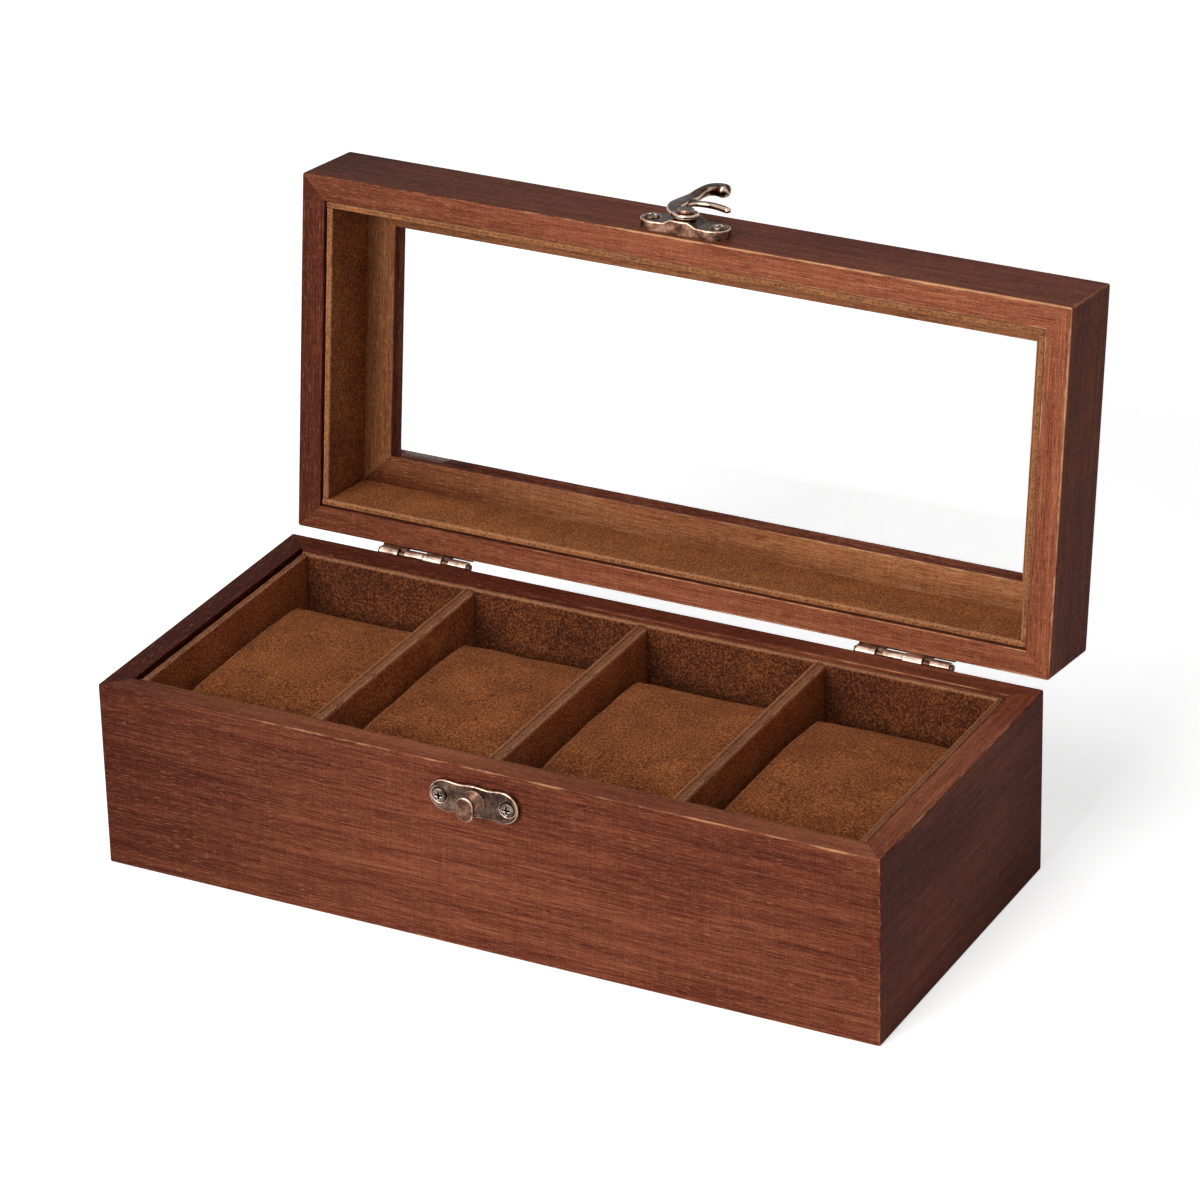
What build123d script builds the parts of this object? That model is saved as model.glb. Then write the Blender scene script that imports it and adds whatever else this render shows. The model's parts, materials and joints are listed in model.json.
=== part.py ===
from build123d import *
import math
import os

# Watch box: a mitred wooden base lined with suede, four loose watch pillows, and a glazed lid
# on two stop hinges with a swinging hook latch. Millimetres. The origin is the centre of the
# base's underside, +X runs to the right, +Y to the back and +Z up. The lid stands open on its
# stops and the hook lies turned away from its stud.

os.makedirs("parts", exist_ok=True)

# ---- driving dimensions -------------------------------------------------------------------

# carcass
box_length = 260.0
box_width = 116.9
base_height = 61.1
lid_height = 29.3
wall = 8.0
corner_ease = 0.8          # rounding of the upright corners
edge_ease = 0.6            # rounding of the long outer arrises
rim_gap = 0.25             # closed lid to base
bottom_thickness = 5.0
bottom_rabbet = 4.0        # how far the bottom panel reaches into the walls
panel_fit = 0.1

# suede-covered lining of the base
floor_board = 1.5
lining_board = 2.0
lining_gap_x = 1.2
lining_gap_y = 0.25
lining_drop = 0.8          # lining edge below the rim
lining_round = 0.8
divider_thickness = 4.2
divider_drop = 1.0         # divider top below the rim
divider_round = 1.8

# watch pillows
pillow_side_gap = 1.0
pillow_depth = 78.0        # front to back
pillow_height = 45.0
pillow_crown = 1.5         # rise of the top's middle over its front and back edges
pillow_round = 8.0
pillow_end_round = 3.0
pillow_clearance = 0.3     # seat to the lining floor
compartments = 4

# lid
lid_open_angle = 96.6
rail_width = 13.6          # of the top frame, inside the walls
rail_thickness = 5.4
rail_slope = 1.4           # how far the opening narrows from the inner face to the top
glass_thickness = 2.0
glass_bite = 3.5           # how far the glass reaches into the rails
glass_inset = 1.2          # from the rails' inner face
glass_fit = 0.1
lid_lining_gap = 0.4

# hinges
hinge_from_end = 47.0      # middle of each hinge to the box's end
pivot_behind = 2.15        # hinge axis behind the back faces
pivot_drop = 0.8           # hinge axis below the base's rim
barrel_radius = 1.9
pin_radius = 0.9
pin_fit = 0.05
pin_head = 0.7             # thickness of the pin's peened ends
leaf_thickness = 1.0
leaf_height = 14.0
leaf_corner = 1.5
knuckle = 6.6
stop_window = 2.4          # room for the stop lugs between two pairs of knuckles
knuckle_play = 0.15
notch_clearance = 0.9      # leaf cut back from the other leaf's knuckles
stop_fit_angle = 0.5
lug_clearance = 0.3        # base leaf cut back below the hinge axis, for the lid's lugs
lid_lug_start = 100.0      # angles round the hinge axis, 0 = backwards, 90 = up, lid closed
lid_lug_end = 172.0
base_lug_start = 186.0
hinge_screw_spacing = 20.0
hinge_screw_height = 8.2   # from the rim

# wood screws
screw_shank = 1.1
screw_pilot_fit = 0.05
screw_reach = 6.0          # from the wood's face
csk_head_radius = 2.1
pan_head_radius = 2.3
pan_head_height = 1.2
pan_head_recess = 0.5      # how deep the pan head sits in its plate
head_fit = 0.25            # head or shank to the plate's hole
cross_width = 0.7
cross_length = 2.9
cross_depth = 0.6

# latch
plate_length = 29.6
plate_width = 10.4
plate_waist = 0.4
plate_ease = 0.4
latch_screw_spacing = 22.6
stud_plate_thickness = 2.2
stud_below_rim = 9.8
hook_plate_thickness = 3.2
hook_above_rim = 7.0
boss_height = 4.6
boss_foot = 11.0
boss_top = 5.8
hook_thickness = 1.6
hook_play = 0.1            # along and round the rivet
ring_radius = 4.2
rivet_radius = 1.5
rivet_head_radius = 2.7
rivet_head_height = 1.2
tenon_length = 1.8         # rivet and stud in their plates
stud_neck_radius = 1.75
stud_slot_fit = 0.25       # neck to the hook's slot
stud_foot_radius = 4.0     # of the cone that carries the neck
stud_foot_play = 0.3       # cone to the closed hook
stud_head_width = 5.6
stud_head_height = 8.0
stud_head_thickness = 1.4
stud_head_ease = 0.4
horn_width = 5.6           # of the hook's outer horn, beyond the slot
horn_angle = 14.0          # where the horn ends, round the rivet from the slot's closed end
horn_thickness = 3.4
horn_tip_radius = 2.5
horn_lift = 1.4            # rise of the horn's tip over the hook's top
prong_angle = 38.0         # where the inner prong ends
neck_bulge = 8.8           # how far the hook's neck bows out to its left

# ---- worked out from the above ------------------------------------------------------------

half_length = box_length / 2
half_width = box_width / 2
hinge_centre = half_length - hinge_from_end
inner_x = half_length - wall
inner_y = half_width - wall
pivot_y = half_width + pivot_behind
pivot_z = base_height - pivot_drop
lid_rim_z = base_height + rim_gap
hinge_axis = Axis((0, pivot_y, pivot_z), (1, 0, 0))


def lid_level(height):
    """Level plane this far above the closed lid's rim."""
    return Plane.XY.offset(lid_rim_z + height)


def front_face(height):
    """Plane on the front faces, centred at a height: normal outwards, Y upwards."""
    return Plane(origin=(0, -half_width, height), x_dir=(1, 0, 0), z_dir=(0, -1, 0))


def back_face(x, height):
    """Plane on the back faces, centred at x and a height: normal outwards, Y upwards."""
    return Plane(origin=(x, half_width, height), x_dir=(-1, 0, 0), z_dir=(0, 1, 0))


def hinge_section(x):
    """Plane across the hinge at x: X points backwards and Y upwards from the hinge axis."""
    return Plane(origin=(x, pivot_y, pivot_z), x_dir=(0, 1, 0), z_dir=(1, 0, 0))


def save(piece, name):
    """Label a finished piece and write it."""
    piece.part.label = name
    export_step(piece.part, f"parts/{name}.step")


def save_on_lid(piece, name):
    """Swing a piece of the lid, built closed, to where the open lid carries it and write it."""
    opened = piece.part.rotate(hinge_axis, -lid_open_angle)
    opened.label = name
    export_step(opened, f"parts/{name}.step")


# ---- mitred walls -------------------------------------------------------------------------


def mitre_corners(side, out_x, out_y, width):
    """Corners of one side of a mitred frame, outer edge first."""
    in_x, in_y = out_x - width, out_y - width
    return {
        "front": [(-out_x, -out_y), (out_x, -out_y), (in_x, -in_y), (-in_x, -in_y)],
        "back": [(out_x, out_y), (-out_x, out_y), (-in_x, in_y), (in_x, in_y)],
        "left": [(-out_x, out_y), (-out_x, -out_y), (-in_x, -in_y), (-in_x, in_y)],
        "right": [(out_x, -out_y), (out_x, out_y), (in_x, in_y), (in_x, -in_y)],
    }[side]


def wall_sketch(side, level):
    """Footprint of one wall, with its share of the rounded upright corners."""
    with BuildSketch(level) as outline:
        RectangleRounded(box_length, box_width, corner_ease)
        Polygon(*mitre_corners(side, half_length, half_width, wall), align=None, mode=Mode.INTERSECT)
    return outline.sketch


def outer_arrises(solid):
    """The two long outer edges of a wall."""
    levels = solid.edges().group_by(Axis.Z)
    return [levels[end].sort_by(SortBy.LENGTH)[-1] for end in (0, -1)]


def screw_holes(faces, spacing):
    """Pilot holes for a pair of screws, from each face plane into the wood."""
    for face in faces:
        with BuildSketch(face) as pilots:
            with Locations((-spacing / 2, 0), (spacing / 2, 0)):
                Circle(screw_shank + screw_pilot_fit)
        extrude(pilots.sketch, amount=-screw_reach, mode=Mode.SUBTRACT)


stud_z = base_height - stud_below_rim
hinge_positions = {"left": -hinge_centre, "right": hinge_centre}

stud_face = front_face(stud_z)
hook_face = front_face(lid_rim_z + hook_above_rim)
base_hinge_z = base_height - hinge_screw_height
lid_hinge_z = lid_rim_z + hinge_screw_height

base_screw_faces = {
    "front": ([stud_face], latch_screw_spacing),
    "back": ([back_face(x, base_hinge_z) for x in hinge_positions.values()], hinge_screw_spacing),
}
lid_screw_faces = {
    "front": ([hook_face], latch_screw_spacing),
    "back": ([back_face(x, lid_hinge_z) for x in hinge_positions.values()], hinge_screw_spacing),
}

panel_length = box_length - 2 * (wall - bottom_rabbet)
panel_width = box_width - 2 * (wall - bottom_rabbet)

for side in ("front", "back", "left", "right"):
    with BuildPart() as base_wall:
        add(wall_sketch(side, Plane.XY))
        extrude(amount=base_height)
        fillet(outer_arrises(base_wall), edge_ease)
        with BuildSketch(Plane.XY):
            Rectangle(panel_length, panel_width)
        extrude(amount=bottom_thickness, mode=Mode.SUBTRACT)
        if side in base_screw_faces:
            screw_holes(*base_screw_faces[side])
    save(base_wall, f"base_{side}_wall")

    with BuildPart() as lid_wall:
        add(wall_sketch(side, lid_level(0)))
        extrude(amount=lid_height)
        fillet(outer_arrises(lid_wall), edge_ease)
        if side in lid_screw_faces:
            screw_holes(*lid_screw_faces[side])
    save_on_lid(lid_wall, f"lid_{side}_wall")

with BuildPart() as bottom_panel:
    with BuildSketch(Plane.XY):
        Rectangle(panel_length - 2 * panel_fit, panel_width - 2 * panel_fit)
    extrude(amount=bottom_thickness)
save(bottom_panel, "base_bottom_panel")

# ---- base lining: suede over thin board, dropped in as a tray ------------------------------

tray_x = inner_x - lining_gap_x
tray_y = inner_y - lining_gap_y
clear_x = tray_x - lining_board
clear_y = tray_y - lining_board
floor_top = bottom_thickness + floor_board
lining_top = base_height - lining_drop
divider_top = base_height - divider_drop

with BuildPart() as lining_floor:
    with BuildSketch(Plane.XY.offset(bottom_thickness)):
        Rectangle(2 * tray_x, 2 * tray_y)
    extrude(amount=floor_board)
save(lining_floor, "lining_floor")

# each panel: centre, size along X and Y; the ends fit between the front and back panels
lining_panels = {
    "front": ((0, -tray_y + lining_board / 2), (2 * tray_x, lining_board)),
    "back": ((0, tray_y - lining_board / 2), (2 * tray_x, lining_board)),
    "left": ((-tray_x + lining_board / 2, 0), (lining_board, 2 * clear_y)),
    "right": ((tray_x - lining_board / 2, 0), (lining_board, 2 * clear_y)),
}
for side, (centre, size) in lining_panels.items():
    with BuildPart() as lining_panel:
        with BuildSketch(Plane.XY.offset(floor_top)):
            with Locations(centre):
                Rectangle(*size)
        extrude(amount=lining_top - floor_top)
        long_axis = Axis.X if side in ("front", "back") else Axis.Y
        fillet(lining_panel.edges().filter_by(long_axis).group_by(Axis.Z)[-1], lining_round)
    save(lining_panel, f"lining_{side}")

compartment = (2 * clear_x - (compartments - 1) * divider_thickness) / compartments
pitch = compartment + divider_thickness
divider_names = ["left", "middle", "right"]
for index, name in enumerate(divider_names):
    with BuildPart() as divider:
        with BuildSketch(Plane.XY.offset(floor_top)):
            with Locations(((index + 1 - compartments / 2) * pitch, 0)):
                Rectangle(divider_thickness, 2 * clear_y)
        extrude(amount=divider_top - floor_top)
        fillet(divider.edges().filter_by(Axis.Y).group_by(Axis.Z)[-1], divider_round)
    save(divider, f"divider_{name}")

# ---- watch pillows: foam blocks in suede, loose in their compartments ----------------------

pillow_length = compartment - 2 * pillow_side_gap
pillow_floor = floor_top + pillow_clearance
shoulder = pillow_height - pillow_crown
for index in range(compartments):
    middle = (index + 0.5 - compartments / 2) * pitch
    with BuildPart() as pillow:
        with BuildSketch(Plane.YZ.offset(middle - pillow_length / 2)):
            with BuildLine():
                Polyline(
                    (-pillow_depth / 2, pillow_floor + shoulder),
                    (-pillow_depth / 2, pillow_floor),
                    (pillow_depth / 2, pillow_floor),
                    (pillow_depth / 2, pillow_floor + shoulder),
                )
                ThreePointArc(
                    (pillow_depth / 2, pillow_floor + shoulder),
                    (0, pillow_floor + pillow_height),
                    (-pillow_depth / 2, pillow_floor + shoulder),
                )
            make_face()
        extrude(amount=pillow_length)
        fillet(pillow.edges().filter_by(Axis.X), pillow_round)
        ends = pillow.faces().sort_by(Axis.X)
        fillet([*ends[0].edges(), *ends[-1].edges()], pillow_end_round)
    save(pillow, f"watch_pillow_{index + 1}")

# ---- lid: top frame, glass and lining ------------------------------------------------------

rail_depth = lid_height - rail_thickness
rail_slope_angle = math.degrees(math.atan2(rail_slope, rail_thickness))
glass_x = inner_x - rail_width + glass_bite
glass_y = inner_y - rail_width + glass_bite
for side in ("front", "back", "left", "right"):
    with BuildPart() as rail:
        with BuildSketch(lid_level(rail_depth)):
            Polygon(*mitre_corners(side, inner_x, inner_y, rail_width), align=None)
        extrude(amount=rail_thickness)
        with BuildSketch(lid_level(rail_depth)):
            Rectangle(2 * (inner_x - rail_width + rail_slope), 2 * (inner_y - rail_width + rail_slope))
        extrude(amount=rail_thickness, taper=rail_slope_angle, mode=Mode.SUBTRACT)
        with BuildSketch(lid_level(rail_depth + glass_inset - glass_fit)):
            Rectangle(2 * (glass_x + glass_fit), 2 * (glass_y + glass_fit))
        extrude(amount=glass_thickness + 2 * glass_fit, mode=Mode.SUBTRACT)
    save_on_lid(rail, f"lid_rail_{side}")

with BuildPart() as glass:
    with BuildSketch(lid_level(rail_depth + glass_inset)):
        Rectangle(2 * glass_x, 2 * glass_y)
    extrude(amount=glass_thickness)
save_on_lid(glass, "lid_glass")

lid_tray_x = inner_x - lid_lining_gap
lid_tray_y = inner_y - lid_lining_gap
lid_lining_panels = {
    "front": ((0, -lid_tray_y + lining_board / 2), (2 * lid_tray_x, lining_board)),
    "back": ((0, lid_tray_y - lining_board / 2), (2 * lid_tray_x, lining_board)),
    "left": (
        (-lid_tray_x + lining_board / 2, 0),
        (lining_board, 2 * (lid_tray_y - lining_board)),
    ),
    "right": (
        (lid_tray_x - lining_board / 2, 0),
        (lining_board, 2 * (lid_tray_y - lining_board)),
    ),
}
for side, (centre, size) in lid_lining_panels.items():
    with BuildPart() as lid_panel:
        with BuildSketch(lid_level(lining_drop)):
            with Locations(centre):
                Rectangle(*size)
        extrude(amount=rail_depth - lining_drop)
        long_axis = Axis.X if side in ("front", "back") else Axis.Y
        fillet(lid_panel.edges().filter_by(long_axis).group_by(Axis.Z)[0], lining_round)
    save_on_lid(lid_panel, f"lid_lining_{side}")

# ---- hinges: two leaves, four knuckles, a pin, and stop lugs in the windows -----------------

barrel_length = 4 * knuckle + 2 * stop_window
# spans along X from the barrel's left end: lid, window, base, lid, window, base
first_window = knuckle
second_window = 3 * knuckle + stop_window
lid_knuckles = [0.0, 2 * knuckle + stop_window]
base_knuckles = [knuckle + stop_window, 3 * knuckle + 2 * stop_window]
leaf_face = -pivot_behind + leaf_thickness
lid_edge = rim_gap + pivot_drop      # lid rim above the hinge axis
base_edge = pivot_drop               # base rim above the hinge axis


def ring_sector(start, end):
    """Sketch a stop lug: part of a ring round the pin, between two angles."""
    with BuildLine() as outline:
        inner = CenterArc((0, 0), pin_radius + pin_fit, start, end - start)
        outer = CenterArc((0, 0), barrel_radius, start, end - start)
        Line(inner @ 0, outer @ 0)
        Line(inner @ 1, outer @ 1)
    make_face(outline.edges())


def hinge_leaf(left_end, on_lid):
    """One leaf, with its knuckles on the barrel and its lugs in the stop windows."""
    up = 1 if on_lid else -1
    edge = lid_edge if on_lid else base_edge
    own = lid_knuckles if on_lid else base_knuckles
    other = base_knuckles if on_lid else lid_knuckles
    lug_stop = lid_lug_start - lid_open_angle + 360 - stop_fit_angle
    lug = (lid_lug_start, lid_lug_end) if on_lid else (base_lug_start, lug_stop)
    middle = left_end + barrel_length / 2
    bore = pin_radius + pin_fit

    with BuildPart() as leaf:
        with BuildSketch(back_face(middle, pivot_z + edge)):
            with Locations((0, up * leaf_height / 2)):
                Rectangle(barrel_length, leaf_height)
        extrude(amount=leaf_thickness)
        fillet(leaf.edges().filter_by(Axis.Y).sort_by(Axis.Z)[::up][-2:], leaf_corner)
        for start in other:
            with BuildSketch(hinge_section(left_end + start - knuckle_play)):
                with Locations((leaf_face, 0)):
                    Rectangle(2 * pivot_behind, 2 * (barrel_radius + notch_clearance))
            extrude(amount=knuckle + 2 * knuckle_play, mode=Mode.SUBTRACT)
        if not on_lid:
            for start in (first_window, second_window):
                with BuildSketch(hinge_section(left_end + start)):
                    with Locations((leaf_face, edge)):
                        Rectangle(2 * pivot_behind, 2 * (edge + lug_clearance))
                extrude(amount=stop_window, mode=Mode.SUBTRACT)
        for start in own:
            with BuildSketch(hinge_section(left_end + start + knuckle_play)):
                Circle(barrel_radius)
                with Locations((-pivot_behind / 2, (edge + up * barrel_radius) / 2)):
                    Rectangle(pivot_behind, abs(up * barrel_radius - edge))
                Circle(bore, mode=Mode.SUBTRACT)
            extrude(amount=knuckle - 2 * knuckle_play)
        for start in (first_window, second_window):
            neck_end = edge if on_lid else -pin_radius
            with BuildSketch(hinge_section(left_end + start + knuckle_play)):
                ring_sector(*lug)
                with Locations((-(pivot_behind + bore) / 2, (neck_end + up * barrel_radius) / 2)):
                    Rectangle(pivot_behind - bore, abs(up * barrel_radius - neck_end))
            extrude(amount=stop_window - 2 * knuckle_play)
        screw_z = lid_hinge_z if on_lid else base_hinge_z
        with BuildSketch(back_face(middle, screw_z).offset(leaf_thickness)):
            with Locations((-hinge_screw_spacing / 2, 0), (hinge_screw_spacing / 2, 0)):
                Circle(csk_head_radius + head_fit / 2)
        extrude(amount=-leaf_thickness, taper=45, mode=Mode.SUBTRACT)
    return leaf


def cross_recess(face, spots):
    """Cut a crosshead recess into the screw heads whose tops lie on the face."""
    with BuildSketch(face) as cross:
        with Locations(*spots):
            Rectangle(cross_length, cross_width)
            Rectangle(cross_width, cross_length)
    extrude(cross.sketch, amount=-cross_depth, mode=Mode.SUBTRACT)


def countersunk_screws(face, spacing, leaf):
    """A pair of countersunk screws whose heads finish flush with a leaf on the face."""
    spots = [(-spacing / 2, 0), (spacing / 2, 0)]
    with BuildPart() as screws:
        with BuildSketch(face.offset(leaf)):
            with Locations(*spots):
                Circle(csk_head_radius)
        extrude(amount=-(csk_head_radius - screw_shank), taper=45)
        with BuildSketch(face.offset(leaf)):
            with Locations(*spots):
                Circle(screw_shank)
        extrude(amount=-(leaf + screw_reach))
        cross_recess(face.offset(leaf), spots)
    return screws


for hand, x in hinge_positions.items():
    left_end = x - barrel_length / 2
    save(hinge_leaf(left_end, False), f"hinge_{hand}_base_leaf")
    save_on_lid(hinge_leaf(left_end, True), f"hinge_{hand}_lid_leaf")

    with BuildPart() as hinge_pin:
        with BuildSketch(hinge_section(left_end - pin_head)):
            Circle(pin_radius)
        extrude(amount=barrel_length + 2 * pin_head)
        for end in (left_end - pin_head, left_end + barrel_length):
            with BuildSketch(hinge_section(end)):
                Circle(barrel_radius - edge_ease)
            extrude(amount=pin_head)
    save(hinge_pin, f"hinge_{hand}_pin")

    base_screws = countersunk_screws(back_face(x, base_hinge_z), hinge_screw_spacing, leaf_thickness)
    save(base_screws, f"hinge_{hand}_base_screws")
    lid_screws = countersunk_screws(back_face(x, lid_hinge_z), hinge_screw_spacing, leaf_thickness)
    save_on_lid(lid_screws, f"hinge_{hand}_lid_screws")

# ---- latch: stud on the base, swinging hook on the lid --------------------------------------


def plate_outline():
    """Round-ended plate whose long edges dip a little between its middle and its ends."""
    end = plate_width / 2
    reach = plate_length / 2 - end
    top = [
        (-reach, end),
        (-reach / 2, end - plate_waist),
        (0, end),
        (reach / 2, end - plate_waist),
        (reach, end),
    ]
    with BuildLine() as outline:
        Spline(*top, tangents=[(1, 0), (1, 0)])
        CenterArc((reach, 0), end, 90, -180)
        Spline(*[(x, -y) for x, y in reversed(top)], tangents=[(-1, 0), (-1, 0)])
        CenterArc((-reach, 0), end, -90, -180)
    make_face(outline.edges())


def pan_head_screws(face, spacing, plate):
    """A pair of pan-head screws that hold a plate on the face."""
    spots = [(-spacing / 2, 0), (spacing / 2, 0)]
    head_foot = face.offset(plate - pan_head_recess)
    with BuildPart() as screws:
        with BuildSketch(head_foot):
            with Locations(*spots):
                Circle(pan_head_radius)
        extrude(amount=pan_head_height)
        fillet(screws.edges().group_by(Axis.Y)[0], pan_head_height / 2)
        with BuildSketch(head_foot):
            with Locations(*spots):
                Circle(screw_shank)
        extrude(amount=-(plate - pan_head_recess + screw_reach))
        cross_recess(head_foot.offset(pan_head_height), spots)
    return screws


def plate_screw_holes(face, plate):
    """Clearance holes and shallow head seats for a plate's two screws."""
    spots = [(-latch_screw_spacing / 2, 0), (latch_screw_spacing / 2, 0)]
    with BuildSketch(face.offset(plate)) as seats:
        with Locations(*spots):
            Circle(pan_head_radius + head_fit)
    extrude(seats.sketch, amount=-pan_head_recess, mode=Mode.SUBTRACT)
    with BuildSketch(face) as clearance:
        with Locations(*spots):
            Circle(screw_shank + head_fit)
    extrude(clearance.sketch, amount=plate, mode=Mode.SUBTRACT)


with BuildPart() as stud_plate:
    with BuildSketch(stud_face):
        plate_outline()
    extrude(amount=stud_plate_thickness)
    fillet(stud_plate.faces().sort_by(Axis.Y)[0].edges(), plate_ease)
    plate_screw_holes(stud_face, stud_plate_thickness)
    with BuildSketch(stud_face.offset(stud_plate_thickness)):
        Circle(rivet_radius)
    extrude(amount=-tenon_length, mode=Mode.SUBTRACT)
save(stud_plate, "latch_stud_plate")
save(
    pan_head_screws(stud_face, latch_screw_spacing, stud_plate_thickness),
    "latch_stud_screws",
)

hook_top = boss_height + hook_play + hook_thickness
with BuildPart() as stud:
    with BuildSketch(stud_face.offset(stud_plate_thickness - tenon_length)):
        Circle(rivet_radius)
    extrude(amount=tenon_length)
    with BuildSketch(stud_face.offset(stud_plate_thickness)):
        Circle(stud_neck_radius)
    extrude(amount=hook_top + hook_play - stud_plate_thickness)
    foot_height = boss_height + hook_play - stud_foot_play - stud_plate_thickness
    foot_angle = math.degrees(math.atan2(stud_foot_radius - stud_neck_radius, foot_height))
    with BuildSketch(stud_face.offset(stud_plate_thickness)):
        Circle(stud_foot_radius)
    extrude(amount=foot_height, taper=foot_angle)
    with BuildSketch(stud_face.offset(hook_top + hook_play)):
        SlotOverall(stud_head_height, stud_head_width, rotation=90)
    extrude(amount=stud_head_thickness)
    fillet(stud.faces().sort_by(Axis.Y)[0].edges(), stud_head_ease)
save(stud, "latch_stud")

with BuildPart() as hook_plate:
    with BuildSketch(hook_face):
        plate_outline()
    extrude(amount=boss_height)
    with BuildSketch(Plane(origin=hook_face.origin, x_dir=(1, 0, 0), z_dir=(0, 0, 1))):
        for hand in (-1, 1):
            Polygon(
                (hand * plate_length, -hook_plate_thickness),
                (hand * boss_foot / 2, -hook_plate_thickness),
                (hand * boss_top / 2, -boss_height),
                (hand * boss_top / 2, -2 * boss_height),
                (hand * plate_length, -2 * boss_height),
                align=None,
            )
    extrude(amount=plate_width, both=True, mode=Mode.SUBTRACT)
    plate_screw_holes(hook_face, hook_plate_thickness)
    with BuildSketch(hook_face.offset(boss_height)):
        Circle(rivet_radius)
    extrude(amount=-tenon_length, mode=Mode.SUBTRACT)
save_on_lid(hook_plate, "latch_hook_plate")
save_on_lid(
    pan_head_screws(hook_face, latch_screw_spacing, hook_plate_thickness),
    "latch_hook_screws",
)

with BuildPart() as rivet:
    with BuildSketch(hook_face.offset(boss_height - tenon_length)):
        Circle(rivet_radius)
    extrude(amount=tenon_length + hook_thickness + 2 * hook_play)
    with BuildSketch(hook_face.offset(hook_top + hook_play)):
        Circle(rivet_head_radius)
    extrude(amount=rivet_head_height)
    fillet(rivet.edges().group_by(Axis.Y)[0], rivet_head_height / 2)
save_on_lid(rivet, "latch_rivet")

# The hook turns about the rivet. Its slot lies on a circle through the stud, so that it swings
# over the neck and under the head, and its raised outer horn is what a finger pushes.
stud_reach = hook_above_rim + rim_gap + stud_below_rim
slot_half = stud_neck_radius + stud_slot_fit
slot_inner = stud_reach - slot_half
slot_outer = stud_reach + slot_half
horn_radius = slot_outer + horn_width


def polar(radius, angle):
    """Point at a radius from the rivet, turned clockwise from the slot's closed end."""
    return (radius * math.sin(math.radians(angle)), radius * math.cos(math.radians(angle)))


def hook_outline():
    """Neck that bows out from the ring and forks into the horn and the inner prong."""
    root = ring_radius * math.sqrt(0.5)
    with BuildLine() as outline:
        Spline(
            (-root, -root),
            (-neck_bulge, 0.43 * stud_reach),
            polar(stud_reach, -29),
            polar(0.93 * horn_radius, -14),
            polar(horn_radius, 0),
            polar(0.95 * horn_radius, horn_angle),
            tangents=[(-1, 0.6), (0.2, -1)],
        )
        Line(polar(0.95 * horn_radius, horn_angle), polar(slot_outer, horn_angle))
        CenterArc((0, 0), slot_outer, 90 - horn_angle, horn_angle)
        CenterArc((0, stud_reach), slot_half, 90, 180)
        CenterArc((0, 0), slot_inner, 90, -prong_angle)
        Spline(
            polar(slot_inner, prong_angle),
            polar(0.86 * slot_inner, 0.62 * prong_angle),
            polar(0.73 * slot_inner, 0),
            (-root, root),
            tangents=[(-1, 0), (0, -1)],
        )
        Line((-root, root), (-root, -root))
    make_face(outline.edges())


with BuildPart() as hook:
    with BuildSketch(hook_face.offset(boss_height + hook_play)):
        hook_outline()
        Circle(ring_radius)
        Circle(rivet_radius + hook_play, mode=Mode.SUBTRACT)
    extrude(amount=hook_thickness)
    horn_low = hook_top - hook_thickness / 2
    tip_spot = (*polar(horn_radius - 1, horn_angle / 2 + 1), hook_top + horn_lift)
    with BuildLine(hook_face) as horn_line:
        ThreePointArc(
            (*polar(stud_reach + 1, -20), horn_low + horn_thickness / 4),
            (*polar(horn_radius - 1.2, -7), hook_top + horn_lift / 3),
            tip_spot,
        )
    with BuildSketch(Plane(origin=horn_line.line @ 0, z_dir=horn_line.line % 0)):
        Circle(horn_thickness / 2)
    sweep(path=horn_line.line)
    with Locations(hook_face.from_local_coords(tip_spot)):
        Sphere(horn_tip_radius)
    with Locations(horn_line.line @ 0):
        Sphere(horn_thickness / 2)
save_on_lid(hook, "latch_hook")
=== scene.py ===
import json
import math

import bpy
import numpy as np
from mathutils import Matrix, Vector
from mathutils.bvhtree import BVHTree


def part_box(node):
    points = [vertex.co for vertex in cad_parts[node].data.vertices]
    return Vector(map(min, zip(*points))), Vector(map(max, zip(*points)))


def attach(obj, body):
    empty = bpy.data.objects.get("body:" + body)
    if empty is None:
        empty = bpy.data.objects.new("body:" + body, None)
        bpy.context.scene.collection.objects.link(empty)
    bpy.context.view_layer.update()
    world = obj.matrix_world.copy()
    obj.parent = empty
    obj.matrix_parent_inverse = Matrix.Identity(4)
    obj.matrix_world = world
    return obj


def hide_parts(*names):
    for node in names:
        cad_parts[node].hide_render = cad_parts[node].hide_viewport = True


# A watch box: mitred stained-wood base and glazed lid, suede lining and four loose suede pillows,
# two stop hinges and a swinging hook latch. Every place comes from the solids, in metres.
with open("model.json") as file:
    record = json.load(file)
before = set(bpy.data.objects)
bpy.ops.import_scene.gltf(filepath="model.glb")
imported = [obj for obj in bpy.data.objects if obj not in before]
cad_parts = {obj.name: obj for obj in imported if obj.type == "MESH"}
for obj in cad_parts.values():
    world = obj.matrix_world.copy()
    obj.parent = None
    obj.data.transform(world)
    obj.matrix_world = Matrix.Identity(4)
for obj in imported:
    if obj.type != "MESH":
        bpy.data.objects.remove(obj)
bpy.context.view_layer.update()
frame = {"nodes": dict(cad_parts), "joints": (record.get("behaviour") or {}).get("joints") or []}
mm = 0.001


# ---- the room: camera, floor and lamps -------------------------------------------------------
# A long lens looks down on the box from its front right corner. The floor and the sky are white
# studio paper; one wide soft box stands in front on the left, and a weak one lights the top.

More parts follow.
